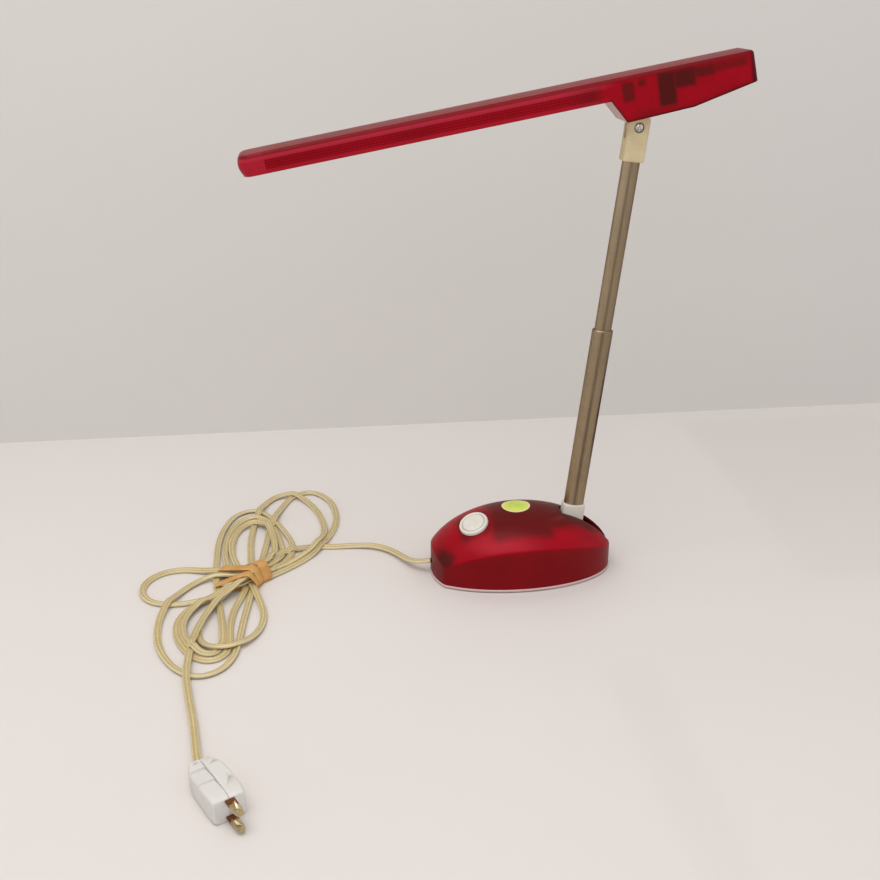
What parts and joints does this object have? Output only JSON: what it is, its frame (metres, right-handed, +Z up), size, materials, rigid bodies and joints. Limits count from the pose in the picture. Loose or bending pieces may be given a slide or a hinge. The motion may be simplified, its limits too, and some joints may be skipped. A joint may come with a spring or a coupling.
{
  "type": "architect desk lamp",
  "caption": "Desk lamp with a domed translucent base, an oval telescopic arm on a lower hinge, and a long slim tilting head holding a twin-tube fluorescent lamp.",
  "frame": {"origin": "centre of the base's underside, on the table", "axes": "+X from the cord nose towards the arm hinge, +Z up, +Y completes the right-handed frame"},
  "size_m": [0.5165, 0.5087, 0.4455],
  "materials": {
    "red_plastic": "frosted translucent moulding",
    "plate_plastic": "satin moulding",
    "pad_rubber": "fine-ribbed foam rubber",
    "ballast_iron": "as cast",
    "bright_steel": "zinc plated",
    "chrome_screw": "chromed",
    "white_plastic": "smooth moulding, slightly aged",
    "collar_plastic": "smooth moulding",
    "cream_plastic": "smooth moulding, yellowed",
    "tube_metal": "satin nickel, warm",
    "black_plastic": "moulding",
    "glide_nylon": "turned nylon",
    "washer_fibre": "fibre",
    "sticker_paper": "blank paper label",
    "clear_plastic": "prismatic clear moulding",
    "reflector_metal": "white-coated sheet",
    "lamp_white": "phosphor-coated glass",
    "holder_plastic": "heat-proof moulding",
    "board_laminate": "phenolic board",
    "gear_dark": "lacquered windings",
    "capacitor_film": "dipped film",
    "lead_grey": "sheathed lead",
    "cord_clear": "clear sheath over copper strands",
    "band_rubber": "rubber band",
    "plug_white": "moulded",
    "blade_brass": "tarnished brass"
  },
  "bodies": {
    "base": {"foot_pad": "pad_rubber", "base_plate": "plate_plastic", "base_screws": "bright_steel", "base_weight": "ballast_iron", "base_shell": "red_plastic", "hinge_bracket": "red_plastic", "hinge_pin": "bright_steel", "hinge_nut": "bright_steel", "hinge_washers": "washer_fibre", "switch_bezel": "white_plastic", "switch_body": "black_plastic", "switch_spring": "bright_steel", "terminal_block": "black_plastic", "cord_clamp": "black_plastic", "round_sticker": "sticker_paper", "cord_lead": "cord_clear", "cord_bundle": "cord_clear", "cord_band": "band_rubber", "cord_tail": "cord_clear", "plug_front": "plug_white", "plug_back": "plug_white", "plug_blades": "blade_brass"},
    "switch_button": {"switch_button": "white_plastic"},
    "arm": {"lower_knuckle": "collar_plastic", "lower_tube": "tube_metal", "guide_ring": "tube_metal", "arm_lead": "lead_grey"},
    "upper_arm": {"upper_tube": "tube_metal", "tube_glide": "glide_nylon", "upper_knuckle": "cream_plastic", "head_lead": "lead_grey", "pivot_screw": "chrome_screw", "pivot_nut": "chrome_screw", "pivot_washers": "washer_fibre"},
    "head": {"head_shell": "red_plastic", "head_cover": "plate_plastic", "head_lug": "bright_steel", "head_screws": "bright_steel", "diffuser": "clear_plastic", "reflector": "reflector_metal", "lamp_glass": "lamp_white", "lamp_cap": "white_plastic", "lamp_holder": "holder_plastic", "gear_board": "board_laminate", "choke": "gear_dark", "film_capacitor": "capacitor_film", "power_transistor": "gear_dark", "gear_coil": "gear_dark", "smoothing_capacitors": "gear_dark"}
  },
  "joints": [
    {"name": "button_press", "type": "slide", "parent": "base", "child": "switch_button", "axis": [-0.3477, -0.2419, 0.9058], "range_m": [-0.0025, 0], "stiffness_N_per_m": 500, "springref_m": 0.0005, "deforming": ["switch_spring"]},
    {"name": "base_tilt", "type": "hinge", "parent": "base", "child": "arm", "pos_m": [0.044, 0, 0.034], "axis": [0, 1, 0], "range_deg": [-2, 80]},
    {"name": "arm_telescope", "type": "slide", "parent": "arm", "child": "upper_arm", "axis": [0.108, 0, 0.9942], "range_m": [-0.125, 0]},
    {"name": "head_tilt", "type": "hinge", "parent": "upper_arm", "child": "head", "pos_m": [0.08245, 0, 0.38792], "axis": [0, -1, 0], "range_deg": [-60, 42]}
  ]
}
